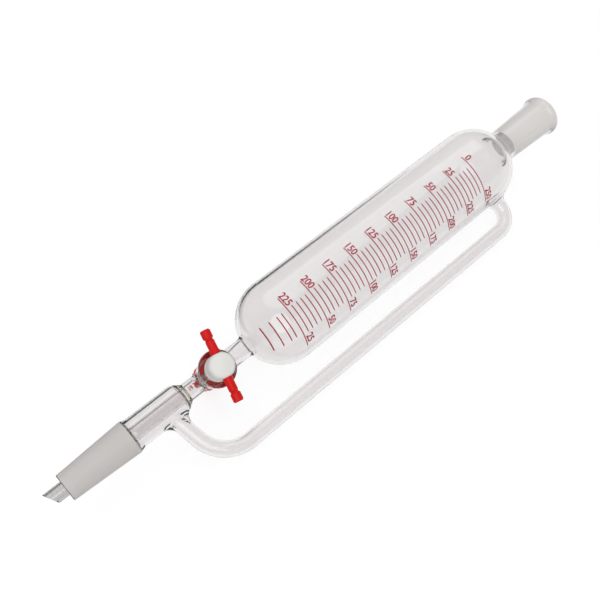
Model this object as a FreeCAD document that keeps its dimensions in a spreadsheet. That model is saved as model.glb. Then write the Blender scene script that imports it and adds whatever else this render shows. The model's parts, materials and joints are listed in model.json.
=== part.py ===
# Pressure-equalizing addition funnel, 250 mL, lying as it comes to rest on a bench.
# Each piece is first drawn along the funnel's own axis: X runs from the drip tip to the upper joint,
# Z along the stopcock towards its handle, and the side arm is on the -Y side.
# All lengths are millimetres and all angles degrees.
import FreeCAD, Part
import math
import os
import re

import Sketcher

SIZES = [
    # the two ground joints share one standard cone, 1:10 on diameter
    ("joint_large", 18.8, "ground joint, diameter at its large end"),
    ("joint_length", 38.0, "ground joint, length of the ground zone"),
    ("joint_taper", 0.1, "ground joint, loss of diameter per length"),
    ("cone_lip", 0.4, "polished edge at each end of the ground cone"),
    ("cone_wall", 1.3, "wall of the cone at its small end"),
    # drip tube and jacket
    ("drip_diameter", 8.0, "drip tube, outside"),
    ("drip_wall", 1.2, "drip tube, wall"),
    ("drip_reach", 10.1, "drip tip beyond the cone"),
    ("drip_bevel", 4.2, "how far the tip is ground back on one side"),
    ("jacket_diameter", 17.0, "jacket round the drip tube, outside"),
    ("jacket_wall", 1.5, "jacket, wall"),
    ("jacket_length", 25.6, "jacket, straight stretch above the cone"),
    ("collar_length", 3.0, "slope from the cone down to the jacket"),
    ("shoulder_length", 5.6, "rounded end of the jacket up to its ring seal"),
    ("seal_diameter", 11.9, "bead where jacket and drip tube are fused"),
    ("seal_blend", 1.5, "rounding of the bead into the lower tube"),
    ("seal_thickness", 1.6, "glass between jacket space and ring seal"),
    # tubes to the stopcock
    ("lower_tube_diameter", 10.3, "tube below the stopcock, outside"),
    ("lower_tube_length", 18.8, "ring seal to stopcock axis"),
    ("lower_bore", 5.6, "tube below the stopcock, bore"),
    ("upper_tube_diameter", 11.2, "tube above the stopcock, outside"),
    ("upper_tube_length", 46.4, "stopcock axis to the centre of the lower dome"),
    ("upper_bore", 8.2, "tube above the stopcock, bore where it opens into the dome"),
    ("throat_bore", 5.6, "tube above the stopcock, bore beside the shell"),
    # reservoir and neck
    ("body_diameter", 48.7, "reservoir, outside"),
    ("body_wall", 1.8, "reservoir, wall"),
    ("body_length", 154.6, "reservoir, between the centres of its domes"),
    ("dome_blend", 2.5, "hollow rounding between lower dome and tube"),
    ("neck_diameter", 20.1, "neck, outside"),
    ("neck_length", 29.7, "centre of the upper dome to the ground zone"),
    ("neck_blend", 5.0, "hollow rounding between upper dome and neck"),
    ("socket_diameter", 22.4, "female joint, outside below its rim"),
    ("rim_diameter", 25.8, "beaded rim, outside"),
    ("rim_height", 5.8, "beaded rim, height"),
    # side arm
    ("arm_diameter", 8.9, "side arm, outside"),
    ("arm_wall", 1.3, "side arm, wall"),
    ("arm_clearance", 15.05, "side arm, its axis outside the reservoir's wall"),
    ("arm_root", 5.5, "side arm leaves the jacket this far below the shoulder"),
    ("arm_lean", 11.5, "side arm, lean of its lower stretch"),
    ("arm_lower_bend", 21.5, "lower bend, radius on the tube's axis"),
    ("arm_upper_bend", 11.0, "upper bend, radius on the tube's axis"),
    ("arm_root_blend", 5.5, "flare where the arm is fused to the jacket"),
    ("arm_top_blend", 4.0, "flare where the arm is fused to the reservoir"),
    # stopcock shell, open at both ends
    ("shell_head_side", 14.0, "shell, from the funnel's axis to the handle side"),
    ("shell_nut_side", 13.0, "shell, from the funnel's axis to the nut side"),
    ("shell_diameter", 20.0, "shell, outside at the handle side"),
    ("shell_end_diameter", 15.0, "shell, outside at the nut side"),
    ("shell_rounding", 0.7, "shell, rounding of both rims"),
    ("shell_blend", 1.5, "hollow rounding between shell and tubes"),
    ("seat_diameter", 13.6, "plug seat, diameter at the handle side"),
    ("seat_taper", 0.2, "plug seat, loss of diameter per length"),
    ("seat_clearance", 0.04, "film between plug and seat"),
    ("cock_bore", 4.0, "bore through shell and plug"),
    # plug
    ("head_diameter", 13.3, "plug head"),
    ("head_gap", 1.2, "plug stands out of the shell before its head begins"),
    ("head_height", 13.1, "plug head, to the edge of its crown"),
    ("head_crown", 0.9, "rise of the head's domed face"),
    ("head_rounding", 2.2, "rounding of the head's edge"),
    ("plug_inset", 1.0, "thin end of the taper inside the shell"),
    ("plug_turn", 78.0, "handle, turned from the funnel's axis: shut"),
    ("stud_diameter", 7.0, "stud at the thin end"),
    ("stud_flats", 5.8, "stud, across its two flats"),
    ("stud_play", 0.1, "clearance round the stud, on each side"),
    ("stud_end", 1.4, "stud beyond the nut"),
    # handle
    ("handle_length", 38.8, "handle, tip to tip"),
    ("handle_height", 25.0, "handle, above the funnel's axis"),
    ("handle_diameter", 4.6, "handle, shaft"),
    ("handle_play", 0.05, "clearance of the handle in the head"),
    ("handle_flare", 5.5, "handle, collar against the head"),
    ("handle_flare_length", 2.4, "handle, length of that collar"),
    ("knob_diameter", 5.3, "handle, end knobs"),
    ("knob_length", 4.9, "handle, length of a knob"),
    ("knob_chamfer", 0.6, "handle, bevel at both ends of a knob"),
    ("groove_diameter", 3.7, "handle, groove inboard of a knob"),
    ("groove_length", 1.1, "handle, length of that groove"),
    # washer, ring and nut
    ("washer_play", 0.05, "gap between shell and keyed washer"),
    ("washer_diameter", 13.6, "keyed washer, outside"),
    ("washer_thickness", 1.5, "keyed washer"),
    ("ring_section", 2.2, "rubber ring, section"),
    ("ring_bore", 7.2, "rubber ring, inside"),
    ("ring_squash", 0.1, "rubber ring, pressed flat on each face"),
    ("nut_play", 0.1, "gap between rubber ring and nut"),
    ("nut_diameter", 15.0, "nut, over its ribs"),
    ("nut_height", 8.0, "nut"),
    ("nut_rounding", 0.6, "nut, rounding of both edges"),
    ("rib_count", 18, "nut, number of ribs"),
    ("rib_groove", 1.3, "nut, width of the groove between two ribs"),
    ("rib_depth", 0.6, "nut, depth of that groove"),
]

document = FreeCAD.newDocument("AdditionFunnel")
sheet = document.addObject("Spreadsheet::Sheet", "Sizes")
for row, (alias, number, meaning) in enumerate(SIZES, start=1):
    sheet.set(f"A{row}", str(number))
    sheet.setAlias(f"A{row}", alias)
    sheet.set(f"B{row}", meaning)
document.recompute()
ALIASES = {alias for alias, number, meaning in SIZES}


def bound(formula):
    """A formula in plain size names, with each name pointed at its cell in the sheet."""
    return re.sub(r"[a-z_]+", lambda word: f"Sizes.{word[0]}" if word[0] in ALIASES else word[0], formula)


def amount(formula):
    """The number that a formula gives now."""
    return float(sheet.evalExpression(bound(formula)))


def bind(feature, **formulas):
    """Sets properties of a feature to formulas in the sheet's sizes."""
    for name, formula in formulas.items():
        feature.setExpression(name, bound(formula))


def origin_feature(body, role):
    """A body's own plane or axis."""
    return next(item for item in body.Origin.OriginFeatures if item.Role == role)


def new_body(name):
    body = document.addObject("PartDesign::Body", name)
    body.Label = name
    return body


def new_sketch(body, name, plane, across="0", out="0"):
    """A sketch on one of the body's planes, moved along the sketch's X and its normal."""
    sketch = body.newObject("Sketcher::SketchObject", name)
    sketch.AttachmentSupport = (origin_feature(body, plane), [""])
    sketch.MapMode = "FlatFace"
    sketch.setExpression("AttachmentOffset.Base.x", bound(across))
    sketch.setExpression("AttachmentOffset.Base.z", bound(out))
    return sketch


def pin_point(sketch, line, end, point):
    """Fixes one end of a line or arc at a pair of formulas."""
    for kind, formula in zip(("DistanceX", "DistanceY"), point):
        rule = sketch.addConstraint(Sketcher.Constraint(kind, -1, 1, line, end, amount(formula)))
        sketch.setExpression(f"Constraints[{rule}]", bound(formula))


def draw_outline(sketch, points, closed=True):
    """Draws lines and arcs through points. A point is (x, y), or (x, y, radius) where an arc of
    that radius leads to the next point: it bends to the left of its chord, or right if minus."""
    count = len(points)
    for index in range(count if closed else count - 1):
        here, there = points[index], points[(index + 1) % count]
        start = FreeCAD.Vector(amount(here[0]), amount(here[1]))
        end = FreeCAD.Vector(amount(there[0]), amount(there[1]))
        if len(here) == 2:
            line = sketch.addGeometry(Part.LineSegment(start, end))
            first, last = 1, 2
        else:
            radius = amount(here[2])
            chord = end - start
            left = FreeCAD.Vector(-chord.y, chord.x).normalize() * math.copysign(1, radius)
            drop = math.sqrt(radius**2 - (chord.Length / 2) ** 2)
            middle = (start + end) / 2 - left * (drop - abs(radius))
            if radius > 0:
                line = sketch.addGeometry(Part.Arc(end, middle, start))
                first, last = 2, 1
            else:
                line = sketch.addGeometry(Part.Arc(start, middle, end))
                first, last = 1, 2
            rule = sketch.addConstraint(Sketcher.Constraint("Radius", line, abs(radius)))
            sketch.setExpression(f"Constraints[{rule}]", bound(f"abs({here[2]})"))
        pin_point(sketch, line, first, here)
        pin_point(sketch, line, last, there)


def turned(body, name, kind, plane, points, axis="H_Axis", across="0"):
    """A full turn of an outline, added (Revolution) or cut away (Groove)."""
    sketch = new_sketch(body, f"{name}_sketch", plane, across)
    draw_outline(sketch, points)
    feature = body.newObject(f"PartDesign::{kind}", name)
    feature.Profile = sketch
    feature.ReferenceAxis = (sketch, [axis])
    feature.Angle = 360
    document.recompute()
    return feature


def rounded(body, name, radius, is_wanted):
    """Rounds the edges of the body so far that a test picks."""
    base = body.Tip
    edges = [f"Edge{i}" for i, edge in enumerate(base.Shape.Edges, start=1)
             if not edge.Degenerated and is_wanted(edge)]
    fillet = body.newObject("PartDesign::Fillet", name)
    fillet.Base = (base, edges)
    bind(fillet, Radius=radius)
    document.recompute()
    return fillet


# Stations along the funnel, from the drip tip.
GROUND_START = "(drip_reach + cone_lip)"
GROUND_END = f"({GROUND_START} + joint_length)"
JACKET_START = f"({GROUND_END} + collar_length)"
SHOULDER = f"({JACKET_START} + jacket_length)"
SEAL = f"({SHOULDER} + shoulder_length)"
COCK = f"({SEAL} + lower_tube_length)"
LOWER_DOME = f"({COCK} + upper_tube_length)"
UPPER_DOME = f"({LOWER_DOME} + body_length)"
SOCKET = f"({UPPER_DOME} + neck_length)"
TOP = f"({SOCKET} + joint_length)"
JOINT_SMALL = "(joint_large - joint_taper * joint_length)"
BODY_BORE = "(body_diameter - 2 * body_wall)"
ARM_END = f"({BODY_BORE} / 2 - body_wall)"
ARM_OFFSET = "(body_diameter / 2 + arm_clearance)"


def dome_run(dome, tube, blend):
    """Where a tube meets a dome through a hollow rounding, all given as diameters and a radius.
    Returns how far from the dome's centre the rounding starts on the tube, and how far out and
    how high it ends on the dome."""
    reach = f"sqrt(({dome} / 2 + {blend})^2 - ({tube} / 2 + {blend})^2)"
    share = f"({dome} / ({dome} + 2 * {blend}))"
    return reach, f"({reach} * {share})", f"(({tube} / 2 + {blend}) * {share})"


def glass_outline():
    """Half of the funnel's outer outline, without side arm and stopcock shell."""
    shoulder_drop = "((jacket_diameter - seal_diameter) / 2)"
    shoulder_arc = f"((shoulder_length^2 + {shoulder_drop}^2) / (2 * {shoulder_drop}))"
    low_tube, low_dome, low_height = dome_run("body_diameter", "upper_tube_diameter", "dome_blend")
    top_tube, top_dome, top_height = dome_run("body_diameter", "neck_diameter", "neck_blend")
    rim_arc = "(rim_height^2 / (4 * (rim_diameter - socket_diameter)) + (rim_diameter - socket_diameter) / 4)"
    return [
        ("0", "0"),
        ("0", "drip_diameter / 2"),
        ("drip_reach", "drip_diameter / 2"),
        ("drip_reach", f"{JOINT_SMALL} / 2 - cone_lip", "cone_lip"),
        (GROUND_START, f"{JOINT_SMALL} / 2"),
        (GROUND_END, "joint_large / 2"),
        (JACKET_START, "jacket_diameter / 2"),
        (SHOULDER, "jacket_diameter / 2", shoulder_arc),
        (SEAL, "seal_diameter / 2"),
        (f"{SEAL} + seal_blend", "lower_tube_diameter / 2"),
        (COCK, "lower_tube_diameter / 2"),
        (COCK, "upper_tube_diameter / 2"),
        (f"{LOWER_DOME} - {low_tube}", "upper_tube_diameter / 2", "-dome_blend"),
        (f"{LOWER_DOME} - {low_dome}", low_height, "body_diameter / 2"),
        (LOWER_DOME, "body_diameter / 2"),
        (UPPER_DOME, "body_diameter / 2", "body_diameter / 2"),
        (f"{UPPER_DOME} + {top_dome}", top_height, "-neck_blend"),
        (f"{UPPER_DOME} + {top_tube}", "neck_diameter / 2"),
        (SOCKET, "neck_diameter / 2"),
        (f"{TOP} - rim_height", "socket_diameter / 2", rim_arc),
        (TOP, "socket_diameter / 2"),
        (TOP, "0"),
    ]


def reservoir_outline():
    """Half of the space above the stopcock: throat, reservoir, neck and joint."""
    low_tube, low_dome, low_height = dome_run(BODY_BORE, "upper_bore", "dome_blend")
    top_tube, top_dome, top_height = dome_run(BODY_BORE, JOINT_SMALL, "neck_blend")
    return [
        (COCK, "0"),
        (COCK, "cock_bore / 2"),
        (f"{COCK} + shell_diameter / 2 - shell_blend", "cock_bore / 2"),
        (f"{COCK} + shell_diameter / 2 + shell_blend", "throat_bore / 2"),
        (f"{LOWER_DOME} - {low_tube}", "upper_bore / 2", "-dome_blend"),
        (f"{LOWER_DOME} - {low_dome}", low_height, f"{BODY_BORE} / 2"),
        (LOWER_DOME, f"{BODY_BORE} / 2"),
        (UPPER_DOME, f"{BODY_BORE} / 2", f"{BODY_BORE} / 2"),
        (f"{UPPER_DOME} + {top_dome}", top_height, "-neck_blend"),
        (f"{UPPER_DOME} + {top_tube}", f"{JOINT_SMALL} / 2"),
        (SOCKET, f"{JOINT_SMALL} / 2"),
        (TOP, "joint_large / 2"),
        (TOP, "0"),
    ]


def jacket_outline():
    """Half of the ring-shaped space between jacket and drip tube, open at the cone."""
    jacket_bore = "(jacket_diameter - 2 * jacket_wall)"
    end_rise = f"(({jacket_bore} - drip_diameter) / 2)"
    return [
        ("drip_reach", "drip_diameter / 2"),
        ("drip_reach", f"{JOINT_SMALL} / 2 - cone_wall"),
        (JACKET_START, f"{jacket_bore} / 2"),
        (f"{SEAL} - seal_thickness - {end_rise}", f"{jacket_bore} / 2", end_rise),
        (f"{SEAL} - seal_thickness", "drip_diameter / 2"),
    ]


def drip_outline():
    """Half of the bore from the stopcock to the drip tip."""
    drip_bore = "(drip_diameter - 2 * drip_wall)"
    return [
        ("0", "0"),
        ("0", f"{drip_bore} / 2"),
        (SEAL, f"{drip_bore} / 2"),
        (f"{COCK} - shell_diameter / 2 - shell_blend", "lower_bore / 2"),
        (f"{COCK} - shell_diameter / 2 + shell_blend", "cock_bore / 2"),
        (COCK, "cock_bore / 2"),
        (COCK, "0"),
    ]


def arm_route():
    """Axis of the side arm, from inside the jacket to inside the reservoir's wall."""
    lean = "(arm_lean * 1 deg)"
    root = f"({SHOULDER} - arm_root)"
    corner = f"({root} + ({ARM_OFFSET} - jacket_diameter / 2) * tan({lean}))"
    run = "(arm_lower_bend * tan((90 - arm_lean) / 2 * 1 deg))"
    start = "(jacket_diameter / 2 - 2 * jacket_wall)"
    return [
        (f"{root} + ({start} - jacket_diameter / 2) * tan({lean})", f"-{start}"),
        (f"{corner} - {run} * sin({lean})", f"-({ARM_OFFSET} - {run} * cos({lean}))", "-arm_lower_bend"),
        (f"{corner} + {run}", f"-{ARM_OFFSET}"),
        (f"{UPPER_DOME} - arm_upper_bend", f"-{ARM_OFFSET}", "-arm_upper_bend"),
        (UPPER_DOME, f"-({ARM_OFFSET} - arm_upper_bend)"),
        (UPPER_DOME, f"-{ARM_END}"),
    ]


def seat_radius(height, clearance="0"):
    """Radius of the tapered seat at a height above the funnel's axis, less a clearance."""
    return f"((seat_diameter - (shell_head_side - {height}) * seat_taper) / 2 - {clearance})"


def extruded(body, name, kind, sketch, length, both_ways=False, reverse=False):
    """A straight Pad or Pocket of a sketch."""
    feature = body.newObject(f"PartDesign::{kind}", name)
    feature.Profile = sketch
    feature.Midplane = both_ways
    feature.Reversed = reverse
    bind(feature, Length=length)
    document.recompute()
    return feature


def draw_circle(sketch, across, up, diameter):
    """A full circle in a sketch, with its centre and size bound."""
    centre = FreeCAD.Vector(amount(across), amount(up))
    ring = sketch.addGeometry(Part.Circle(centre, FreeCAD.Vector(0, 0, 1), amount(diameter) / 2))
    pin_point(sketch, ring, 3, (across, up))
    rule = sketch.addConstraint(Sketcher.Constraint("Diameter", ring, amount(diameter)))
    sketch.setExpression(f"Constraints[{rule}]", bound(diameter))


def pipe_along(body, name, kind, route, diameter):
    """A round pipe, added or cut away, along the side arm's route, from the reservoir's end."""
    section = new_sketch(body, f"{name}_section", "XZ_Plane", across=UPPER_DOME, out=ARM_END)
    draw_circle(section, "0", "0", diameter)
    pipe = body.newObject(f"PartDesign::{kind}", name)
    pipe.Profile = section
    pipe.Spine = (route, [f"Edge{i}" for i in range(1, len(route.Shape.Edges) + 1)])
    document.recompute()
    return pipe


def is_crossing(edge, low_x, high_x):
    """An edge where two round walls meet, between two stations of the funnel."""
    return isinstance(edge.Curve, Part.BSplineCurve) and low_x < edge.CenterOfMass.x < high_x


def build_glass():
    body = new_body("glass_funnel")
    turned(body, "outer_wall", "Revolution", "XY_Plane", glass_outline())
    turned(body, "stopcock_shell", "Revolution", "XZ_Plane", [
        ("0", "-shell_nut_side"),
        ("shell_end_diameter / 2 - shell_rounding", "-shell_nut_side", "-shell_rounding"),
        ("shell_end_diameter / 2", "-(shell_nut_side - shell_rounding)"),
        ("shell_diameter / 2", "shell_head_side - shell_rounding", "-shell_rounding"),
        ("shell_diameter / 2 - shell_rounding", "shell_head_side"),
        ("0", "shell_head_side"),
    ], axis="V_Axis", across=COCK)
    shell = (amount(f"{COCK} - shell_diameter / 2"), amount(f"{COCK} + shell_diameter / 2"))
    rounded(body, "shell_feet", "shell_blend", lambda edge: is_crossing(edge, *shell))

    route = new_sketch(body, "arm_route", "XY_Plane")
    draw_outline(route, arm_route(), closed=False)
    document.recompute()
    pipe_along(body, "side_arm", "AdditivePipe", route, "arm_diameter")
    root = (amount(JACKET_START), amount(SHOULDER))
    rounded(body, "arm_root_flare", "arm_root_blend", lambda edge: is_crossing(edge, *root))
    crown = (amount(f"{UPPER_DOME} - arm_diameter"), amount(f"{UPPER_DOME} + arm_diameter"))
    rounded(body, "arm_top_flare", "arm_top_blend", lambda edge: is_crossing(edge, *crown))

    turned(body, "reservoir", "Groove", "XY_Plane", reservoir_outline())
    turned(body, "jacket_space", "Groove", "XY_Plane", jacket_outline())
    turned(body, "drip_bore", "Groove", "XY_Plane", drip_outline())
    pipe_along(body, "arm_bore", "SubtractivePipe", route, "(arm_diameter - 2 * arm_wall)")
    turned(body, "plug_seat", "Groove", "XZ_Plane", [
        ("0", "-shell_nut_side"),
        (seat_radius("(0 - shell_nut_side)"), "-shell_nut_side"),
        (seat_radius("shell_head_side"), "shell_head_side"),
        ("0", "shell_head_side"),
    ], axis="V_Axis", across=COCK)

    over = "(drip_bevel / 2)"
    bevel = new_sketch(body, "tip_bevel_sketch", "XY_Plane")
    draw_outline(bevel, [
        (f"-{over}", "-drip_diameter"),
        (f"drip_bevel + {over}", "-drip_diameter"),
        (f"-{over}", "drip_diameter"),
    ])
    extruded(body, "tip_bevel", "Pocket", bevel, "2 * drip_diameter", both_ways=True)
    return body


STUD_TOP = "(plug_inset - shell_nut_side)"
WASHER_TOP = "(0 - shell_nut_side - washer_play)"
RING_TOP = f"({WASHER_TOP} - washer_thickness)"
NUT_TOP = f"({RING_TOP} - ring_section + 2 * ring_squash - nut_play)"
NUT_END = f"({NUT_TOP} - nut_height)"
STUD_END = f"({NUT_END} - stud_end)"
HEAD_BASE = "(shell_head_side + head_gap)"
HEAD_EDGE = f"({HEAD_BASE} + head_height)"


def keyed_outline(play):
    """A round stud with two flats, or the hole that it fits."""
    radius = f"(stud_diameter / 2 + {play})"
    flat = f"(stud_flats / 2 + {play})"
    reach = f"sqrt({radius}^2 - {flat}^2)"
    return [
        (reach, f"-{flat}", f"-{radius}"),
        (reach, flat),
        (f"-{reach}", flat, f"-{radius}"),
        (f"-{reach}", f"-{flat}"),
    ]


def build_plug():
    body = new_body("stopcock_plug")
    crown_reach = "(head_diameter / 2 - head_rounding)"
    crown_arc = f"(({crown_reach}^2 + head_crown^2) / (2 * head_crown))"
    turned(body, "taper_and_head", "Revolution", "XZ_Plane", [
        ("0", STUD_TOP),
        (seat_radius(STUD_TOP, "seat_clearance"), STUD_TOP),
        (seat_radius(HEAD_BASE, "seat_clearance"), HEAD_BASE),
        ("head_diameter / 2", HEAD_BASE),
        ("head_diameter / 2", f"{HEAD_EDGE} - head_rounding", "-head_rounding"),
        (crown_reach, HEAD_EDGE, f"-{crown_arc}"),
        ("0", f"{HEAD_EDGE} + head_crown"),
    ], axis="V_Axis")
    stud = new_sketch(body, "stud_sketch", "XY_Plane", out=STUD_END)
    draw_outline(stud, keyed_outline("0"))
    extruded(body, "stud", "Pad", stud, f"{STUD_TOP} - {STUD_END}")
    bore = new_sketch(body, "plug_bore_sketch", "YZ_Plane")
    draw_circle(bore, "0", "0", "cock_bore")
    extruded(body, "plug_bore", "Pocket", bore, "2 * head_diameter", both_ways=True)
    hole = new_sketch(body, "handle_hole_sketch", "YZ_Plane")
    draw_circle(hole, "0", "handle_height", "(handle_diameter + 2 * handle_play)")
    extruded(body, "handle_hole", "Pocket", hole, "2 * head_diameter", both_ways=True)
    return body


def build_handle():
    body = new_body("handle_bar")
    knob = "(handle_length / 2 - knob_length)"
    groove = f"({knob} - groove_length)"
    collar = "(head_diameter / 2 + handle_play)"
    half = [
        (collar, "handle_diameter / 2"),
        (collar, "handle_flare / 2"),
        (f"{collar} + handle_flare_length", "handle_diameter / 2"),
        (groove, "handle_diameter / 2"),
        (f"{groove} + groove_length / 2", "groove_diameter / 2"),
        (knob, "knob_diameter / 2 - knob_chamfer"),
        (f"{knob} + knob_chamfer", "knob_diameter / 2"),
        ("handle_length / 2 - knob_chamfer", "knob_diameter / 2"),
        ("handle_length / 2", "knob_diameter / 2 - knob_chamfer"),
        ("handle_length / 2", "0"),
    ]
    other_half = [(f"0 - ({x})", y) for x, y in reversed(half)]
    turned(body, "bar", "Revolution", "XY_Plane", half + other_half)
    return body


def build_washer():
    body = new_body("keyed_washer")
    disc = new_sketch(body, "washer_sketch", "XY_Plane", out=RING_TOP)
    draw_circle(disc, "0", "0", "washer_diameter")
    draw_outline(disc, keyed_outline("stud_play"))
    extruded(body, "washer", "Pad", disc, "washer_thickness")
    return body


def build_ring():
    body = new_body("o_ring")
    centre = "((ring_bore + ring_section) / 2)"
    flat = "sqrt((ring_section / 2)^2 - (ring_section / 2 - ring_squash)^2)"
    bottom = f"({RING_TOP} - ring_section + 2 * ring_squash)"
    turned(body, "ring", "Revolution", "XZ_Plane", [
        (f"{centre} - {flat}", bottom),
        (f"{centre} + {flat}", bottom, "-ring_section / 2"),
        (f"{centre} + {flat}", RING_TOP),
        (f"{centre} - {flat}", RING_TOP, "-ring_section / 2"),
    ], axis="V_Axis")
    return body


def build_nut():
    body = new_body("retaining_nut")
    bore = "(stud_diameter / 2 + stud_play)"
    turned(body, "nut", "Revolution", "XZ_Plane", [
        (bore, NUT_END),
        ("nut_diameter / 2 - nut_rounding", NUT_END, "-nut_rounding"),
        ("nut_diameter / 2", f"{NUT_END} + nut_rounding"),
        ("nut_diameter / 2", f"{NUT_TOP} - nut_rounding", "-nut_rounding"),
        ("nut_diameter / 2 - nut_rounding", NUT_TOP),
        (bore, NUT_TOP),
    ], axis="V_Axis")
    groove = new_sketch(body, "rib_groove_sketch", "XY_Plane", out=NUT_END)
    draw_circle(groove, "0", "-(nut_diameter / 2 - rib_depth + rib_groove / 2)", "rib_groove")
    cut = extruded(body, "rib_groove_cut", "Pocket", groove, "nut_height", reverse=True)
    ribs = body.newObject("PartDesign::PolarPattern", "ribs")
    ribs.Originals = [cut]
    ribs.Axis = (origin_feature(body, "Z_Axis"), [""])
    ribs.Angle = 360
    bind(ribs, Occurrences="rib_count")
    body.Tip = ribs
    document.recompute()
    return body


def resting_tilt():
    """Roll about X and pitch about Y, in degrees, that lay the funnel on its upper shoulder, on
    the upper bend of its side arm and on the rim of its nut."""
    shoulder, cock, bend = amount(UPPER_DOME), amount(COCK), amount(f"{UPPER_DOME} - arm_upper_bend")
    body_radius, arm_radius = amount("body_diameter / 2"), amount("arm_diameter / 2")
    bend_radius, bend_side = amount("arm_upper_bend"), amount(f"{ARM_OFFSET} - arm_upper_bend")
    edge = amount("nut_rounding")
    rim_radius, rim_drop = amount("nut_diameter / 2") - edge, -amount(NUT_END) - edge
    roll = pitch = 0.0
    for _ in range(100):
        upright = math.cos(pitch) * math.cos(roll)
        lean = math.sqrt(1 - upright**2)
        nut_drop = upright * rim_drop + rim_radius * lean + edge
        pitch = math.asin((nut_drop - body_radius) / (shoulder - cock))
        arm_drop = body_radius - arm_radius - bend_radius * lean + math.sin(pitch) * (shoulder - bend)
        roll = math.asin(arm_drop / (math.cos(pitch) * bend_side))
    return math.degrees(roll), math.degrees(pitch)


def lay_down(placements):
    """Turns every piece from the funnel's own axes to its resting place, with the origin under
    the middle of the whole."""
    roll, pitch = resting_tilt()
    about_x = FreeCAD.Rotation(FreeCAD.Vector(1, 0, 0), roll)
    about_y = FreeCAD.Rotation(FreeCAD.Vector(0, 1, 0), pitch)
    lying = FreeCAD.Placement(FreeCAD.Vector(), about_y * about_x)
    for body, place in placements:
        body.Placement = lying * place
    whole = Part.Compound([body.Shape for body, place in placements]).optimalBoundingBox(False, False)
    middle = FreeCAD.Vector(whole.Center.x, whole.Center.y, whole.ZMin)
    for body, place in placements:
        body.Placement = FreeCAD.Placement(-middle, FreeCAD.Rotation()) * body.Placement
    return FreeCAD.Placement(-middle, FreeCAD.Rotation()) * lying


def export(bodies):
    """Checks every object of the document and writes one file for each piece."""
    for item in document.Objects:
        if {"Invalid", "Error"} & set(item.State):
            raise RuntimeError(f"{item.Name} failed: {item.State}")
    os.makedirs("parts", exist_ok=True)
    for body in bodies:
        if body.Shape.isNull() or not body.Shape.isValid() or len(body.Shape.Solids) != 1:
            raise RuntimeError(f"{body.Label} is not one valid solid")
        body.Shape.exportStep(f"parts/{body.Label}.step")


on_funnel = FreeCAD.Placement()
at_cock = FreeCAD.Placement(FreeCAD.Vector(amount(COCK), 0, 0), FreeCAD.Rotation())
turned_shut = FreeCAD.Rotation(FreeCAD.Vector(0, 0, 1), amount("plug_turn"))
rib_down = FreeCAD.Rotation(FreeCAD.Vector(0, 0, 1), 180 / amount("rib_count"))
at_handle = FreeCAD.Placement(FreeCAD.Vector(0, 0, amount("handle_height")), FreeCAD.Rotation())
plug_place = at_cock * FreeCAD.Placement(FreeCAD.Vector(), turned_shut)
pieces = [
    (build_glass(), on_funnel),
    (build_plug(), plug_place),
    (build_handle(), plug_place * at_handle),
    (build_washer(), plug_place),
    (build_ring(), plug_place),
    (build_nut(), at_cock * FreeCAD.Placement(FreeCAD.Vector(), rib_down)),
]
resting = lay_down(pieces)
document.recompute()
export([body for body, place in pieces])
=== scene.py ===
import json
import math

import bmesh
import bpy
from mathutils import Matrix, Vector


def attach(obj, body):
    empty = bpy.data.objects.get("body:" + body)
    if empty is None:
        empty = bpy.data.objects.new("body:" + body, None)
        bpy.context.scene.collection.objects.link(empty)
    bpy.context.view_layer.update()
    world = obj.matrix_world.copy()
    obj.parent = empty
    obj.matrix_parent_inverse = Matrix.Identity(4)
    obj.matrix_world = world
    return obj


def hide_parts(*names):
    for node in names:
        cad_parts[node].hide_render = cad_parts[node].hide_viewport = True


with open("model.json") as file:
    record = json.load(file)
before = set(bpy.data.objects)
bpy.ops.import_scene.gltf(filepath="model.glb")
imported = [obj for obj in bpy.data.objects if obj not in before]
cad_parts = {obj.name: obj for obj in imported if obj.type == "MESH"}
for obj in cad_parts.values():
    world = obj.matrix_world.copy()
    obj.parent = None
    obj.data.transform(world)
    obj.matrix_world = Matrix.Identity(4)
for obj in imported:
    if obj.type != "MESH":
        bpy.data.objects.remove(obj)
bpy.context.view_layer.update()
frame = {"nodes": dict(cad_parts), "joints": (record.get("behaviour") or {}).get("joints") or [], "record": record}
nodes, record = frame["nodes"], frame["record"]

# Camera, bench and light.
# The funnel lies on a white laminate bench and is seen from above, over its drip tip. Everything is
# placed about the funnel's own axes: along it from the drip tip to the upper joint, away from the
# side arm, and up the stopcock to its handle. Its sizes are in mm; bench, cards and lamps are in m.
MM = 0.001
LENGTH = 370.2
ROOM_LIGHT = 0.5
CARD_LIFT = 0.001           # metres from the bench up to a card
mounts = {mount["name"]: mount for mount in record["mounts"]}
joints = {joint["name"]: joint for joint in frame["joints"]}
along = Vector(mounts["top_socket"]["axis"]).normalized()
towards_handle = Vector(joints["plug_turn"]["axis"]).normalized()
away_from_arm = towards_handle.cross(along).normalized()
funnel_axes = Matrix((along, away_from_arm, towards_handle)).transposed().to_4x4()
funnel_axes.translation = Vector(mounts["top_socket"]["pos_m"]) - along * LENGTH * MM


def srgb(code):
    """The linear colour of a hex code such as #B8323F."""
    parts = [int(code[i:i + 2], 16) / 255 for i in (1, 3, 5)]
    return [p / 12.92 if p <= 0.04045 else ((p + 0.055) / 1.055) ** 2.4 for p in parts] + [1.0]


def add_node(tree, kind, inputs=None, **settings):
    """Adds a node. Each of its inputs gets a value, or a link from another node's output."""
    node = tree.nodes.new(kind)
    for name, value in settings.items():
        setattr(node, name, value)
    for name, value in (inputs or {}).items():
        if isinstance(value, bpy.types.NodeSocket):
            tree.links.new(value, node.inputs[name])
        else:
            node.inputs[name].default_value = value
    return node


def maths(tree, operation, *terms):
    """The output of a Math node, with a number or a link for each of its terms."""
    return add_node(tree, "ShaderNodeMath", dict(enumerate(terms)), operation=operation).outputs[0]


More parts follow.
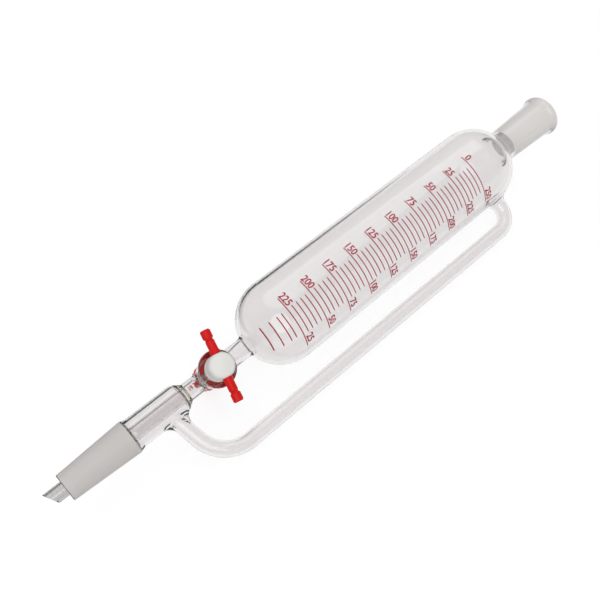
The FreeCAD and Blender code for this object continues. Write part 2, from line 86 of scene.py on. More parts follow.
def empty_material(name):
    material = bpy.data.materials.new(name)
    material.use_nodes = True
    material.node_tree.nodes.clear()
    return material, material.node_tree


def new_object(name, mesh):
    made = bpy.data.objects.new(name, mesh)
    bpy.context.collection.objects.link(made)
    return made


def flat_card(name, corners, height, material):
    mesh = bpy.data.meshes.new(name)
    mesh.from_pydata([(x, y, height) for x, y in corners], [], [(0, 1, 2, 3)])
    mesh.materials.append(material)
    card = new_object(name, mesh)
    return card


camera_data = bpy.data.cameras.new("camera")
camera_data.sensor_width = 36
camera_data.lens = 48.1
camera_data.clip_start = 0.01
camera = new_object("camera", camera_data)
look = Vector((0.3437, 0, -0.939))
right, up = Vector((0.740, -0.6157, 0.2708)), Vector((0.5781, 0.788, 0.2116))
pose = Matrix((right, up, -look)).transposed().to_4x4()
pose.translation = Vector((13.53, 1.72, 410.97)) * MM
camera.matrix_world = funnel_axes @ pose
bpy.context.scene.camera = camera
bpy.context.scene.view_settings.view_transform = "Standard"

# The room lights the glass evenly from all sides, and is white where it is seen directly.
world = bpy.data.worlds.new("white_room")
bpy.context.scene.world = world
world.use_nodes = True
tree = world.node_tree
tree.nodes.clear()
rays = add_node(tree, "ShaderNodeLightPath").outputs
strength = add_node(tree, "ShaderNodeMapRange", {
    "Value": rays["Is Camera Ray"], "To Min": ROOM_LIGHT, "To Max": 1.0})
light = add_node(tree, "ShaderNodeBackground", {
    "Color": srgb("#FFFFFF"), "Strength": strength.outputs[0]})
add_node(tree, "ShaderNodeOutputWorld", {"Surface": light.outputs[0]})

# Matt laminate. It is lifted to white where it is the background, seen directly, mirrored or through
# the glass, and still takes the shadow there.
laminate, tree = empty_material("white_bench_laminate")
rays = add_node(tree, "ShaderNodeLightPath").outputs
background = maths(tree, "MAXIMUM", rays["Is Camera Ray"], rays["Is Transmission Ray"])
background = maths(tree, "MAXIMUM", background, rays["Is Glossy Ray"])
matt = add_node(tree, "ShaderNodeBsdfDiffuse", {"Color": srgb("#8A8A8A")})
glow = add_node(tree, "ShaderNodeEmission", {"Color": srgb("#FFFFFF"), "Strength": 0.79})
lifted = add_node(tree, "ShaderNodeAddShader", {0: matt.outputs[0], 1: glow.outputs[0]})
plain = add_node(tree, "ShaderNodeBsdfDiffuse", {"Color": srgb("#E6E6E6")})
mixed = add_node(tree, "ShaderNodeMixShader", {
    0: background, 1: plain.outputs[0], 2: lifted.outputs[0]})
add_node(tree, "ShaderNodeOutputMaterial", {"Surface": mixed.outputs[0]})
flat_card("bench_top", [(-1.5, -1.5), (1.5, -1.5), (1.5, 1.5), (-1.5, 1.5)], 0, laminate)

# Two cards lie on the bench, where only the glass sees them. A dark one beside the funnel puts a dark
# line along one edge of each tube. A pale grey one below the tip is painted shade: the thin drip tube,
# seen against it, shows grey.
for name, material_name, colour, corners in (
    ("edge_card", "matt_black_card", "#404044",
     [(-0.24, 0.035), (0.16, 0.14), (0.16, 0.4), (-0.24, 0.4)]),
    ("tip_shade_card", "painted_shade_pale_card", "#D8D8D8",
     [(-0.22, -0.03), (-0.168, -0.03), (-0.168, 0.05), (-0.22, 0.05)]),
):
    card_board, tree = empty_material(material_name)
    paper = add_node(tree, "ShaderNodeBsdfDiffuse", {"Color": srgb(colour)})
    add_node(tree, "ShaderNodeOutputMaterial", {"Surface": paper.outputs[0]})
    card = flat_card(name, corners, CARD_LIFT, card_board)
    card.visible_camera = card.visible_diffuse = card.visible_shadow = False

for name, place, size, power in (
    ("window", (-0.7, -1.0, 1.3), 1.6, 11.0),
    ("ceiling_panel", (0.4, 0.6, 1.6), 2.0, 9.0),
):
    lamp_data = bpy.data.lights.new(name, "AREA")
    lamp_data.shape = "DISK"
    lamp_data.size = size
    lamp_data.energy = power
    lamp = new_object(name, lamp_data)
    lamp.location = place
    lamp.rotation_euler = (Vector((0, 0, 0)) - Vector(place)).to_track_quat("-Z", "Y").to_euler()


# Glass funnel.
# One piece of blown borosilicate glass, fused on a lathe from tubes. The two standard joints are
# ground, which leaves them frosted white. Everywhere else the wall is fire-polished and clear.
GLASS_IOR = 1.47            # borosilicate bends light a little less than window glass
WELD = 1e-7                 # metres: corners closer than this are one
ARM_BORE = 3.15             # radius
ARM_MOUTHS = (              # station, bore radius of the wall, mouth radius, depth, lean, on a dome
    (302.5, 22.55, 7.6, 5.2, 0.0, True),
    (71.3, 7.0, 4.9, 3.0, 11.5, False),
)
on_funnel = funnel_axes @ Matrix.Scale(MM, 4)     # places what is drawn in millimetres


def clear_to_lamps(tree, shader, tint):
    """The shader to the eye, but clear to lamps: thin glassware throws no more than a pale shadow."""
    rays = add_node(tree, "ShaderNodeLightPath").outputs
    passing = add_node(tree, "ShaderNodeBsdfTransparent", {"Color": srgb(tint)})
    return add_node(tree, "ShaderNodeMixShader", {
        0: rays["Is Shadow Ray"], 1: shader.outputs[0], 2: passing.outputs[0]}).outputs[0]


def merged_copy(node_name, name):
    """A copy of a CAD node with its loose triangles merged. The "true_normal" of each corner is that
    of the round surface, so that the glass bends light as a round wall does."""
    source = nodes[node_name].data
    normals = [corner.vector.copy() for corner in source.corner_normals]
    net = bmesh.new()
    net.from_mesh(source)
    true_normal = net.loops.layers.float_vector.new("true_normal")
    corners = [corner for face in net.faces for corner in face.loops]
    for corner, normal in zip(corners, normals):
        corner[true_normal] = normal
    bmesh.ops.remove_doubles(net, verts=net.verts, dist=WELD)
    bmesh.ops.dissolve_degenerate(net, edges=net.edges, dist=WELD)
    mesh = bpy.data.meshes.new(name)
    net.to_mesh(mesh)
    net.free()
    mesh.materials.clear()
    mesh.attributes.remove(mesh.attributes["custom_normal"])
    return new_object(name, mesh)


def shade_as_round(mesh, material):
    """Shades a merged copy by its true normals, and gives it its material."""
    kept = [item.vector.copy() for item in mesh.attributes["true_normal"].data]
    mesh.attributes.remove(mesh.attributes["true_normal"])
    mesh.shade_smooth()
    mesh.normals_split_custom_set(kept)
    mesh.materials.clear()
    mesh.materials.append(material)


def bore_mouth(station, wall_radius, mouth, depth, lean, domed):
    """The rounded mouth of the side arm's bore in a round wall, as a closed body to cut out. The
    flame rounds this edge, so that the wall is as thick there as in the tubes."""
    turns, steps = 72, 16
    before, past, inset = 1.4, 0.5, 0.02     # the body starts before the wall and ends inside the bore
    rings = [(wall_radius - before, mouth, (-1, 0))]     # height, radius, and which way it faces
    for i in range(steps + 1):
        angle = math.pi / 2 * i / steps
        rings.append((wall_radius + depth * (1 - math.cos(angle)),
                      mouth - (mouth - ARM_BORE) * math.sin(angle),
                      (-(mouth - ARM_BORE) * math.cos(angle), -depth * math.sin(angle))))
    rings.append((wall_radius + depth + past, ARM_BORE - inset, (0, -1)))
    places, normals = [], []
    for height, radius, (down, inwards) in rings:
        for i in range(turns):
            turn = 2 * math.pi * i / turns
            x, z = radius * math.cos(turn), radius * math.sin(turn)
            over = max(x, 0) if domed else 0
            centre = math.sqrt(wall_radius**2 - z**2 - over**2)
            y = height - (wall_radius - centre)
            places.append((station + x + (y - wall_radius) * math.tan(math.radians(lean)), -y, z))
            normal = Vector((inwards * math.cos(turn) + down * over / centre, -down,
                             inwards * math.sin(turn) + down * z / centre))
            normals.append((funnel_axes.to_3x3() @ normal).normalized())
    faces = [tuple(range(turns)), tuple(reversed(range(len(places) - turns, len(places))))]
    for j in range(len(rings) - 1):
        for i in range(turns):
            k = (i + 1) % turns
            faces.append((j * turns + i, (j + 1) * turns + i, (j + 1) * turns + k, j * turns + k))
    mesh = bpy.data.meshes.new("bore_mouth")
    mesh.from_pydata(places, [], faces)
    mesh.transform(on_funnel)
    net = bmesh.new()
    net.from_mesh(mesh)
    if net.calc_volume(signed=True) < 0:
        bmesh.ops.reverse_faces(net, faces=net.faces)
    net.to_mesh(mesh)
    net.free()
    kept = mesh.attributes.new("true_normal", "FLOAT_VECTOR", "CORNER")
    for corner, item in zip(mesh.loops, kept.data):
        item.vector = normals[corner.vertex_index]
    return new_object("bore_mouth", mesh)


# Clear borosilicate: almost no colour of its own, and a faint grey where the wall is seen edge-on.
clear_glass, tree = empty_material("borosilicate_fire_polished")
glass = add_node(tree, "ShaderNodeBsdfPrincipled", {
    "Base Color": srgb("#F4F2F2"), "Roughness": 0.0, "IOR": GLASS_IOR, "Transmission Weight": 1.0})
deep = add_node(tree, "ShaderNodeVolumeAbsorption", {"Color": srgb("#C6C4C5"), "Density": 30.0})
add_node(tree, "ShaderNodeOutputMaterial", {
    "Surface": clear_to_lamps(tree, glass, "#F9F9FA"), "Volume": deep.outputs[0]})

funnel = merged_copy("glass_funnel", "funnel_glass")
for arm_mouth in ARM_MOUTHS:
    cutter = bore_mouth(*arm_mouth)
    cut = funnel.modifiers.new("cut", "BOOLEAN")
    cut.operation, cut.solver, cut.object = "DIFFERENCE", "EXACT", cutter
    bpy.context.view_layer.update()
    evaluated = funnel.evaluated_get(bpy.context.evaluated_depsgraph_get())
    made = bpy.data.meshes.new_from_object(evaluated)
    funnel.modifiers.remove(cut)
    funnel.data = made
    bpy.data.objects.remove(cutter)
funnel.data.name = "funnel_glass"
shade_as_round(funnel.data, clear_glass)
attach(funnel, "funnel")
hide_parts("glass_funnel")


# Ground surfaces.
# Both joints are ground with fine grit. Each grain's pit sends the light another way, so the zone is
# a dense, even white. It is drawn as a thin skin: just over the cone, and just inside the glass round
# the socket's bore, which keeps it in touch with the glass.
GRAIN = 0.0006              # metres from pit to pit
GROUND = {                  # both ends' station and radius, how far off the glass, colour, clearness
    # the socket's colour is whiter than the cone's as painted light: it is seen through the clear wall and lit
    # only through the glass
    "ground_cone": ((10.5, 7.5), (48.5, 9.4), (0.01, 0.03), "#D9D5D2", 0.25),
    "ground_socket": ((332.2, 7.5), (370.2, 9.4), (0.05, 0.09), "#FCFBF8", 0.15),
}
for name, (small_end, large_end, (under, over), colour, clearness) in GROUND.items():
    # the grit leaves pits of 0.05 mm; drawn at 0.6 mm, because the real ones are too fine to show
    ground_glass, tree = empty_material(f"borosilicate_{name}")
    spot = add_node(tree, "ShaderNodeTexCoord")
    pits = add_node(tree, "ShaderNodeTexNoise", {
        "Vector": spot.outputs["Object"], "Scale": 1 / GRAIN, "Detail": 2.0})
    grain = add_node(tree, "ShaderNodeBump", {
        "Height": pits.outputs["Fac"], "Strength": 0.15, "Distance": 0.0001})
    frost = add_node(tree, "ShaderNodeBsdfPrincipled", {
        "Base Color": srgb(colour), "Roughness": 0.6, "IOR": GLASS_IOR,
        "Transmission Weight": clearness, "Normal": grain.outputs[0]})
    # it blurs what is behind it and stops little light, so that lamps reach its far side
    add_node(tree, "ShaderNodeOutputMaterial", {
        "Surface": clear_to_lamps(tree, frost, "#FCFCFC")})
    profile = [(x, r + off) for (x, r), off in (
        (small_end, under), (small_end, over), (large_end, over), (large_end, under))]
    turns = 96
    corners = [(x, r * math.cos(2 * math.pi * i / turns), r * math.sin(2 * math.pi * i / turns))
               for i in range(turns) for x, r in profile]
    faces = []
    for i in range(turns):
        here, there = 4 * i, 4 * ((i + 1) % turns)
        for j in range(4):
            k = (j + 1) % 4
            faces.append((here + j, there + j, there + k, here + k))
    mesh = bpy.data.meshes.new(name)
    mesh.from_pydata(corners, [], faces)
    mesh.shade_smooth()
    mesh.set_sharp_from_angle(angle=math.radians(40))
    mesh.materials.append(ground_glass)
    mesh.transform(on_funnel)
    skin = new_object(name, mesh)
    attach(skin, "funnel")


# Printed scale.
# Red ceramic ink, screen-printed round the front of the reservoir and fired on. A line every 5 mL
# and a long one every 25 mL, with two numerals: the volume in the funnel and the volume run out.
RESERVOIR_RADIUS = 24.35
LOWER_DOME = 147.9          # station where the reservoir's lower dome starts
INK = 0.05                  # drawn thicker than real ink, which would be lost in the glass
INK_LIFT = INK / 2 + 0.01   # keeps the back of the print just off the glass
LINE_WIDTH = 0.55
ZERO_STATION = 286.7
STEP_25_ML = 15.57
LONG_LINES, ALL_LINES = 10, 46
SHORT = (-5.5, 34.0)        # degrees round from the handle's side towards the side arm
LONG = (-22.8, 53.0)
DOME_LINES = (              # station, and the same degrees
    (142.7, -5.2, 31.2), (139.8, -5.4, 32.2), (135.4, -7.2, 34.7), (130.7, -10.4, 38.1))
RUN_OUT, LEFT_IN = -16.0, 43.5      # degrees round to the two rows of numerals
UNIT_ROUND = 60.0
BASELINE = 0.9              # a numeral stands this far past its line
NUMERAL, UNIT = (6.0, 0.85), (4.2, 0.8)     # height, and width as a share of the typeface's
LETTER_WELD = 0.002         # corners of a letter closer than this are one


def new_tree(name, **inputs):
    """A Geometry Nodes tree that takes a mesh and has a named size for each input."""
    tree = bpy.data.node_groups.new(name, "GeometryNodeTree")
    tree.interface.new_socket("Geometry", in_out="INPUT", socket_type="NodeSocketGeometry")
    tree.interface.new_socket("Geometry", in_out="OUTPUT", socket_type="NodeSocketGeometry")
    for label, kind in inputs.items():
        tree.interface.new_socket(label, in_out="INPUT", socket_type=kind)
    return tree, add_node(tree, "NodeGroupInput").outputs


def end_tree(tree, node, material):
    """Ends a tree: what the node gives is made real, and all of it gets the material."""
    real = add_node(tree, "GeometryNodeRealizeInstances", {"Geometry": node.outputs[0]})
    coated = add_node(tree, "GeometryNodeSetMaterial", {
        "Geometry": real.outputs[0], "Material": material})
    add_node(tree, "NodeGroupOutput", {"Geometry": coated.outputs[0]})


def apply_tree(obj, tree, **values):
    """Runs a tree on an object with the values given, and leaves the object a plain mesh."""
    modifier = obj.modifiers.new(tree.name, "NODES")
    modifier.node_group = tree
    for item in tree.interface.items_tree:
        if item.in_out == "INPUT" and item.name in values:
            modifier[item.identifier] = values[item.name]
    bpy.context.view_layer.update()
    evaluated = obj.evaluated_get(bpy.context.evaluated_depsgraph_get())
    made = bpy.data.meshes.new_from_object(evaluated)
    obj.modifiers.remove(modifier)
    old = obj.data
    obj.data = made
    bpy.data.meshes.remove(old)
    made.name = obj.name


FLOAT, MATERIAL = "NodeSocketFloat", "NodeSocketMaterial"

# Bars: each point of the mesh becomes a bar, as long as the point's "reach" says.
bars, given = new_tree("scale_bars", Width=FLOAT, Thickness=FLOAT, Ink=MATERIAL)
reach = add_node(bars, "GeometryNodeInputNamedAttribute", {"Name": "reach"}, data_type="FLOAT")
blank = add_node(bars, "GeometryNodeMeshCube", {
    "Size": (1, 1, 1), "Vertices X": 2, "Vertices Y": 25, "Vertices Z": 2})
size = add_node(bars, "ShaderNodeCombineXYZ", {
    0: given["Width"], 1: reach.outputs["Attribute"], 2: given["Thickness"]})
placed = add_node(bars, "GeometryNodeInstanceOnPoints", {
    "Points": given["Geometry"], "Instance": blank.outputs["Mesh"], "Scale": size.outputs[0]})
end_tree(bars, placed, given["Ink"])

# Wrapping: a flat print, drawn along X and round Y, is bent over the glass and its lower dome.
wrap, given = new_tree("wrap_on_glass", Radius=FLOAT, Dome=FLOAT, Lift=FLOAT, Ink=MATERIAL)
flat = add_node(wrap, "GeometryNodeInputPosition")
flat = add_node(wrap, "ShaderNodeSeparateXYZ", {0: flat.outputs[0]}).outputs
drop = maths(wrap, "MAXIMUM", maths(wrap, "SUBTRACT", given["Dome"], flat["X"]), 0.0)
drop = maths(wrap, "POWER", drop, 2.0)
radius = maths(wrap, "SUBTRACT", maths(wrap, "POWER", given["Radius"], 2.0), drop)
radius = maths(wrap, "ADD", maths(wrap, "SQRT", radius), flat["Z"])
radius = maths(wrap, "ADD", radius, given["Lift"])
angle = maths(wrap, "DIVIDE", flat["Y"], given["Radius"])
low = maths(wrap, "MULTIPLY", maths(wrap, "SINE", angle), radius)
low = maths(wrap, "MULTIPLY", low, -1.0)
high = maths(wrap, "MULTIPLY", maths(wrap, "COSINE", angle), radius)
bent = add_node(wrap, "ShaderNodeCombineXYZ", {0: flat["X"], 1: low, 2: high})
laid = add_node(wrap, "GeometryNodeSetPosition", {
    "Geometry": given["Geometry"], "Position": bent.outputs[0]})
# bending mirrors the print, so its faces are turned out again
outwards = add_node(wrap, "GeometryNodeFlipFaces", {"Mesh": laid.outputs[0]})
end_tree(wrap, outwards, given["Ink"])

# Fired ceramic ink: matt, dense red with a slightly uneven coat, paler where it is thin.
red_ink, tree = empty_material("ceramic_ink_red")
spot = add_node(tree, "ShaderNodeTexCoord")
coat = add_node(tree, "ShaderNodeTexNoise", {
    "Vector": spot.outputs["Object"], "Scale": 1400.0, "Detail": 3.0})
tint = add_node(tree, "ShaderNodeValToRGB", {0: coat.outputs["Fac"]})
thick, thin = tint.color_ramp.elements
thick.position, thick.color = 0.35, srgb("#980A20")
thin.position, thin.color = 0.7, srgb("#B41C32")
paint = add_node(tree, "ShaderNodeBsdfPrincipled", {
    "Base Color": tint.outputs[0], "Roughness": 0.7, "Specular IOR Level": 0.1})
add_node(tree, "ShaderNodeOutputMaterial", {"Surface": paint.outputs[0]})

lines = []                  # station, first and last angle of each line
for i in range(LONG_LINES):
    lines.append((ZERO_STATION - i * STEP_25_ML, *LONG))
for i in range(ALL_LINES):
    if i % 5:
        lines.append((ZERO_STATION - i * STEP_25_ML / 5, *SHORT))
lines += DOME_LINES
arc = RESERVOIR_RADIUS * math.pi / 180
mesh = bpy.data.meshes.new("scale_lines")
mesh.from_pydata([(x, (a + b) / 2 * arc, 0) for x, a, b in lines], [], [])
reaches = mesh.attributes.new("reach", "FLOAT", "POINT")
reaches.data.foreach_set("value", [(b - a) * arc for x, a, b in lines])
scale_lines = new_object("scale_lines", mesh)
apply_tree(scale_lines, bars, Width=LINE_WIDTH, Thickness=INK, Ink=red_ink)


def printed_words(name, words, bold):
    """One flat mesh of all the words. Each has its text, station, place round, height, width, turn."""
    print_mesh = bmesh.new()
    for body, station, across, height, stretch, turn in words:
        text = bpy.data.curves.new("word", "FONT")
        text.body = body
        text.size = height
        text.resolution_u = 4       # coarse enough for letters this small to stay closed when bold
        text.offset = bold * height
        text.align_x = "CENTER"
        text.extrude = INK / 2
        writing = new_object("word", text)
        bpy.context.view_layer.update()
        evaluated = writing.evaluated_get(bpy.context.evaluated_depsgraph_get())
        letters = bpy.data.meshes.new_from_object(evaluated)
        # with the handle in front, a word reads towards the side arm, its head to the upper joint
        place = Matrix(((0, 1, 0, station), (1, 0, 0, across), (0, 0, 1, 0), (0, 0, 0, 1)))
        place @= Matrix.Rotation(math.radians(turn), 4, "Z")
        letters.transform(place @ Matrix.Diagonal((stretch, 1, 1, 1)))
        print_mesh.from_mesh(letters)
        bpy.data.objects.remove(writing)
        bpy.data.meshes.remove(letters)
    bmesh.ops.remove_doubles(print_mesh, verts=print_mesh.verts, dist=LETTER_WELD)
    loose = [vert for vert in print_mesh.verts if not vert.link_faces]
    bmesh.ops.delete(print_mesh, geom=loose, context="VERTS")
    bmesh.ops.recalc_face_normals(print_mesh, faces=print_mesh.faces)
    mesh = bpy.data.meshes.new(name)
    print_mesh.to_mesh(mesh)
    print_mesh.free()
    return new_object(name, mesh)


numerals = [("mL", ZERO_STATION + BASELINE, UNIT_ROUND * arc, *UNIT, 0)]
for i in range(LONG_LINES):
    for volume, angle in ((25 * i, RUN_OUT), (250 - 25 * i, LEFT_IN)):
        station = ZERO_STATION - i * STEP_25_ML + BASELINE
        numerals.append((str(volume), station, angle * arc, *NUMERAL, 0))
scale_numerals = printed_words("scale_numerals", numerals, bold=0.018)

for print_piece in (scale_lines, scale_numerals):
    apply_tree(print_piece, wrap, Radius=RESERVOIR_RADIUS, Dome=LOWER_DOME, Lift=INK_LIFT, Ink=red_ink)
    print_piece.data.transform(on_funnel)
    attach(print_piece, "funnel")


# Joint size on the lower tube.
# The size of the two standard joints, printed small in the same red ink beside the stopcock, where it
# reads along the tube.
MARK_STATION = 87.9
MARK_ROUND = 4.0            # degrees towards the side arm
MARK = (3.3, 0.78, 90)      # height, width and turn
TUBE_RADIUS = 5.15
tube_arc = TUBE_RADIUS * math.pi / 180
size_mark = printed_words(
    "size_mark", [("19 38", MARK_STATION, MARK_ROUND * tube_arc, *MARK)], bold=0.03)
apply_tree(size_mark, wrap, Radius=TUBE_RADIUS, Dome=0.0, Lift=INK_LIFT, Ink=red_ink)
size_mark.data.transform(on_funnel)
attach(size_mark, "funnel")


# Ring seal.
# Where the drip tube was fused through the end of its jacket, the flame left a thin line round the
# bead, a little straw-coloured against the clear glass.
SEAL_STATION = 82.75
SEAL_RADIUS = 5.93
SEAM = 0.22                 # radius of the line itself
seam_glass, tree = empty_material("borosilicate_fused_seam")
seam = add_node(tree, "ShaderNodeBsdfPrincipled", {
    "Base Color": srgb("#BDB871"), "Roughness": 0.25, "IOR": GLASS_IOR, "Transmission Weight": 0.4})
add_node(tree, "ShaderNodeOutputMaterial", {"Surface": seam.outputs[0]})
seam_tree, given = new_tree("ring_seam", Radius=FLOAT, Thickness=FLOAT, Glass=MATERIAL)
round_path = add_node(seam_tree, "GeometryNodeCurvePrimitiveCircle", {
    "Resolution": 96, "Radius": given["Radius"]})
section = add_node(seam_tree, "GeometryNodeCurvePrimitiveCircle", {
    "Resolution": 12, "Radius": given["Thickness"]})
swept = add_node(seam_tree, "GeometryNodeCurveToMesh", {
    "Curve": round_path.outputs[0], "Profile Curve": section.outputs[0]})
end_tree(seam_tree, swept, given["Glass"])
ring_seam = new_object("ring_seam", bpy.data.meshes.new("ring_seam"))
apply_tree(ring_seam, seam_tree, Radius=SEAL_RADIUS, Thickness=SEAM, Glass=seam_glass)
across_tube = Matrix.Translation((SEAL_STATION, 0, 0)) @ Matrix.Rotation(math.pi / 2, 4, "Y")
ring_seam.data.transform(on_funnel @ across_tube)
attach(ring_seam, "funnel")


# Stopcock plug.
# Turned from white PTFE rod, with a taper that seals in the shell and a domed head. PTFE is soft,
# waxy and faintly translucent, and the turning tool left fine rings on it.
COCK = 101.5                # station of the stopcock's axis
TOOL_STEP = 0.0006          # metres from ring to ring
WAVE_STEP = 20 / (2 * math.pi)      # a wave texture of scale 1 has this many rings to the unit
BODY_END = -12.3            # height where the thread takes over, below the taper
cock_axes = funnel_axes @ Matrix.Translation((COCK * MM, 0, 0))
from_world = cock_axes.inverted()
# the tool moved on 0.2 mm a turn; drawn at 0.6 mm, because the real rings are too fine to show
ptfe, tree = empty_material("ptfe_turned_white")
spot = add_node(tree, "ShaderNodeTexCoord")
centred = add_node(tree, "ShaderNodeMapping", {
    "Vector": spot.outputs["Object"], "Location": from_world.translation,
    "Rotation": from_world.to_euler()})
rings = add_node(tree, "ShaderNodeTexWave", {
    "Vector": centred.outputs[0], "Scale": 1 / WAVE_STEP / TOOL_STEP},
    wave_type="RINGS", rings_direction="SPHERICAL")
ripple = add_node(tree, "ShaderNodeBump", {
    "Height": rings.outputs["Fac"], "Strength": 0.12, "Distance": 0.0001})
wax = add_node(tree, "ShaderNodeBsdfPrincipled", {
    "Base Color": srgb("#E8E7E4"), "Roughness": 0.42, "IOR": 1.35, "Normal": ripple.outputs[0],
    "Subsurface Weight": 0.25, "Subsurface Radius": (0.8, 0.8, 0.8), "Subsurface Scale": 0.001})
add_node(tree, "ShaderNodeOutputMaterial", {"Surface": wax.outputs[0]})

plug = merged_copy("stopcock_plug", "plug_body")
net = bmesh.new()
net.from_mesh(plug.data)
bmesh.ops.bisect_plane(
    net, geom=net.verts[:] + net.edges[:] + net.faces[:], dist=WELD, clear_outer=True,
    plane_co=cock_axes @ Vector((0, 0, BODY_END * MM)), plane_no=-towards_handle)
bmesh.ops.holes_fill(net, edges=[edge for edge in net.edges if edge.is_boundary])
net.to_mesh(plug.data)
net.free()
shade_as_round(plug.data, ptfe)
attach(plug, "plug")
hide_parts("stopcock_plug")


# Threads of stud and nut.
# A coarse right-handed thread, cut on the plug's stud between its two flats, and moulded as a ridge
# in the nut's bore. One turn moves the nut by 1.5 mm, and both lie in step when the nut turns.
PITCH = 1.5
PLUG_TURN = 78.0            # degrees that the plug is turned in its seat, with the stud's flats
STUD = (-26.05, -12.1)      # height of the stud's two ends above the funnel's axis
ROWS = 150
GROOVE, FLANK = 0.27, 0.61  # where a flank starts and ends, from the groove's middle to the crest's
on_cock = cock_axes @ Matrix.Rotation(math.radians(PLUG_TURN), 4, "Z") @ Matrix.Scale(MM, 4)
stud_length, stud_middle = STUD[1] - STUD[0], (STUD[0] + STUD[1]) / 2


def held(tree, value, limit):
    """The value, held between minus the limit and the limit."""
    return maths(tree, "MAXIMUM", maths(tree, "MINIMUM", value, limit),
                 maths(tree, "MULTIPLY", limit, -1.0))


# Stud: a grid is bent into a rod whose radius follows the thread. Its flats are pressed on it, and one
# more row past each end, of no radius, closes it.
rod, given = new_tree("threaded_rod", Length=FLOAT, Root=FLOAT, Crest=FLOAT, Pitch=FLOAT, Flat=FLOAT,
                      Chamfer=FLOAT, Plastic=MATERIAL)
grid = add_node(rod, "GeometryNodeMeshGrid", {
    "Size X": 2 * math.pi, "Size Y": maths(rod, "MULTIPLY", given["Length"], 1 + 2 / ROWS),
    "Vertices X": 73, "Vertices Y": ROWS + 3})
flat = add_node(rod, "GeometryNodeInputPosition")
flat = add_node(rod, "ShaderNodeSeparateXYZ", {0: flat.outputs[0]}).outputs
half = maths(rod, "MULTIPLY", given["Length"], 0.5)
height = held(rod, flat["Y"], half)
turned = maths(rod, "DIVIDE", flat["X"], 2 * math.pi)
phase = maths(rod, "SUBTRACT", maths(rod, "DIVIDE", height, given["Pitch"]), turned)
wave = maths(rod, "PINGPONG", maths(rod, "MULTIPLY", phase, 2.0), 1.0)
radius = add_node(rod, "ShaderNodeMapRange", {
    "Value": wave, "From Min": GROOVE, "From Max": FLANK,
    "To Min": given["Root"], "To Max": given["Crest"]}).outputs[0]
rim = maths(rod, "SUBTRACT", given["Crest"], given["Chamfer"])
rim = maths(rod, "ADD", maths(rod, "ADD", height, half), rim)
radius = maths(rod, "MINIMUM", radius, rim)
on_rod = maths(rod, "LESS_THAN", maths(rod, "ABSOLUTE", flat["Y"]),
               maths(rod, "MULTIPLY", half, 1 + 1 / ROWS))
radius = maths(rod, "MULTIPLY", radius, on_rod)
one_way = maths(rod, "MULTIPLY", maths(rod, "COSINE", flat["X"]), radius)
other_way = held(rod, maths(rod, "MULTIPLY", maths(rod, "SINE", flat["X"]), radius), given["Flat"])
bent = add_node(rod, "ShaderNodeCombineXYZ", {0: one_way, 1: other_way, 2: height})
laid = add_node(rod, "GeometryNodeSetPosition", {
    "Geometry": grid.outputs["Mesh"], "Position": bent.outputs[0]})
closed = add_node(rod, "GeometryNodeMergeByDistance", {"Geometry": laid.outputs[0], "Distance": 0.0005})
end_tree(rod, closed, given["Plastic"])
stud = new_object("stud_thread", bpy.data.meshes.new("stud_thread"))
apply_tree(stud, rod, Length=stud_length, Root=3.05, Crest=3.5, Pitch=PITCH, Flat=2.9, Chamfer=0.6,
           Plastic=ptfe)
stud.data.shade_smooth()
stud.data.set_sharp_from_angle(angle=math.radians(25))
stud.data.transform(on_cock @ Matrix.Translation((0, 0, stud_middle)))
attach(stud, "plug")


# Handle, nut and keyed washer.
# Red polypropylene, injection-moulded. The bar comes out of two half moulds and keeps a fine flash
# line where they met, all round its middle, before it is pressed through the plug's head.
EROSION = 0.0008            # metres from grain to grain
FLASH = 0.00009             # metres, the flash line's radius
# the mould is spark-eroded to a grain of 0.1 mm; drawn at 0.8 mm, because that is too fine to show
red_plastic, tree = empty_material("polypropylene_red_moulded")
spot = add_node(tree, "ShaderNodeTexCoord")
eroded = add_node(tree, "ShaderNodeTexNoise", {
    "Vector": spot.outputs["Object"], "Scale": 1 / EROSION, "Detail": 2.0})
grain = add_node(tree, "ShaderNodeBump", {
    "Height": eroded.outputs["Fac"], "Strength": 0.06, "Distance": 0.0001})
# semi-gloss: a broad soft light runs along the bar, and the red stays deep beside it
shell = add_node(tree, "ShaderNodeBsdfPrincipled", {
    "Base Color": srgb("#D60D0D"), "Roughness": 0.38, "Specular IOR Level": 0.25,
    "Normal": grain.outputs[0]})
add_node(tree, "ShaderNodeOutputMaterial", {"Surface": shell.outputs[0]})
for name in ("handle_bar", "retaining_nut", "keyed_washer"):
    for place in nodes[name].material_slots:
        place.material = red_plastic

# Ridge in the nut's bore, swept down the thread's spiral. Its foot is a little inside the nut.
RIDGE_TURNS = 4.25
FOOT, FOOT_HALF, TOP_HALF = -0.02, 0.38, 0.15     # the foot's depth, and half the width of both
ridge, given = new_tree("nut_ridge", Turns=FLOAT, Pitch=FLOAT, Bore=FLOAT, Crest=FLOAT,
                        Plastic=MATERIAL)
fall = maths(ridge, "MULTIPLY", maths(ridge, "MULTIPLY", given["Turns"], given["Pitch"]), -1.0)
spiral = add_node(ridge, "GeometryNodeCurveSpiral", {
    "Resolution": 48, "Rotations": given["Turns"], "Start Radius": given["Bore"],
    "End Radius": given["Bore"], "Height": fall})
upright = add_node(ridge, "GeometryNodeSetCurveNormal", {"Curve": spiral.outputs[0]}, mode="Z_UP")
top = maths(ridge, "SUBTRACT", given["Bore"], given["Crest"])
points = [add_node(ridge, "ShaderNodeCombineXYZ", {0: inwards, 1: sideways}).outputs[0]
          for inwards, sideways in (
              (FOOT, FOOT_HALF), (FOOT, -FOOT_HALF), (top, -TOP_HALF), (top, TOP_HALF))]
section = add_node(ridge, "GeometryNodeCurvePrimitiveQuadrilateral", {
    f"Point {i + 1}": point for i, point in enumerate(points)}, mode="POINTS")
swept = add_node(ridge, "GeometryNodeCurveToMesh", {
    "Curve": upright.outputs[0], "Profile Curve": section.outputs[0], "Fill Caps": True})
end_tree(ridge, swept, given["Plastic"])
nut_ridge = new_object("nut_ridge", bpy.data.meshes.new("nut_ridge"))
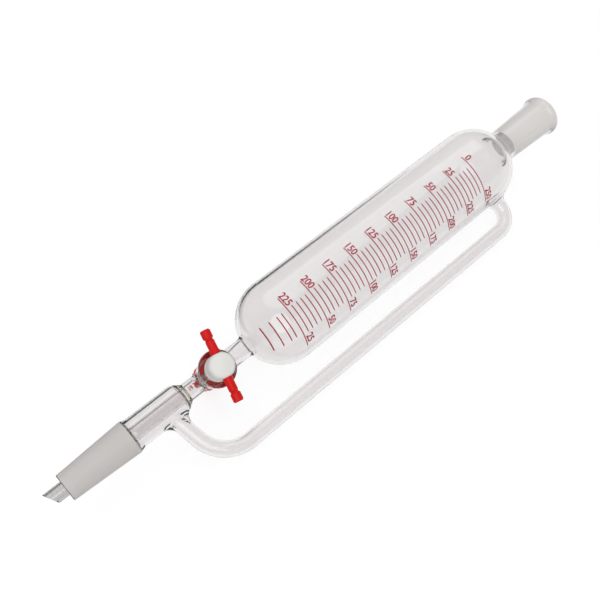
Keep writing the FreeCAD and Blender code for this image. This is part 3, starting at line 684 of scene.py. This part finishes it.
apply_tree(nut_ridge, ridge, Turns=RIDGE_TURNS, Pitch=PITCH, Bore=3.6, Crest=3.2, Plastic=red_plastic)
nut_ridge.data.shade_smooth()
nut_ridge.data.set_sharp_from_angle(angle=math.radians(25))
nut_ridge.data.transform(on_cock @ Matrix.Translation((0, 0, stud_middle + PITCH)))
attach(nut_ridge, "nut")

# Flash line: a thin bead swept round the bar's outline, where its two half moulds met.
flash, given = new_tree("flash_line", Thickness=FLOAT, Plastic=MATERIAL)
path = add_node(flash, "GeometryNodeMeshToCurve", {"Mesh": given["Geometry"]})
even = add_node(flash, "GeometryNodeResampleCurve", {"Curve": path.outputs[0], "Count": 220})
section = add_node(flash, "GeometryNodeCurvePrimitiveCircle", {
    "Resolution": 8, "Radius": given["Thickness"]})
swept = add_node(flash, "GeometryNodeCurveToMesh", {
    "Curve": even.outputs[0], "Profile Curve": section.outputs[0]})
end_tree(flash, swept, given["Plastic"])
flash_line = merged_copy("handle_bar", "flash_line")
flash_line.data.attributes.remove(flash_line.data.attributes["true_normal"])
middle = sum((Vector(corner) for corner in flash_line.bound_box), Vector()) / 8
net = bmesh.new()
net.from_mesh(flash_line.data)
cut = bmesh.ops.bisect_plane(
    net, geom=net.verts[:] + net.edges[:] + net.faces[:], dist=WELD,
    plane_co=middle, plane_no=towards_handle)["geom_cut"]
outline = {item for item in cut if isinstance(item, bmesh.types.BMEdge)}
bmesh.ops.delete(net, geom=net.faces[:], context="FACES_ONLY")
others = [edge for edge in net.edges if edge not in outline]
bmesh.ops.delete(net, geom=others, context="EDGES")
net.to_mesh(flash_line.data)
net.free()
apply_tree(flash_line, flash, Thickness=FLASH, Plastic=red_plastic)
flash_line.data.shade_smooth()
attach(flash_line, "plug")


# Rubber ring.
# Moulded nitrile rubber between washer and nut. It is black and dull, with no more than a soft shine,
# and it shows only at the nut's upper edge.
rubber, tree = empty_material("nitrile_rubber_moulded")
moulded = add_node(tree, "ShaderNodeBsdfPrincipled", {"Base Color": srgb("#1B1B1B"), "Roughness": 0.6})
add_node(tree, "ShaderNodeOutputMaterial", {"Surface": moulded.outputs[0]})
for place in nodes["o_ring"].material_slots:
    place.material = rubber
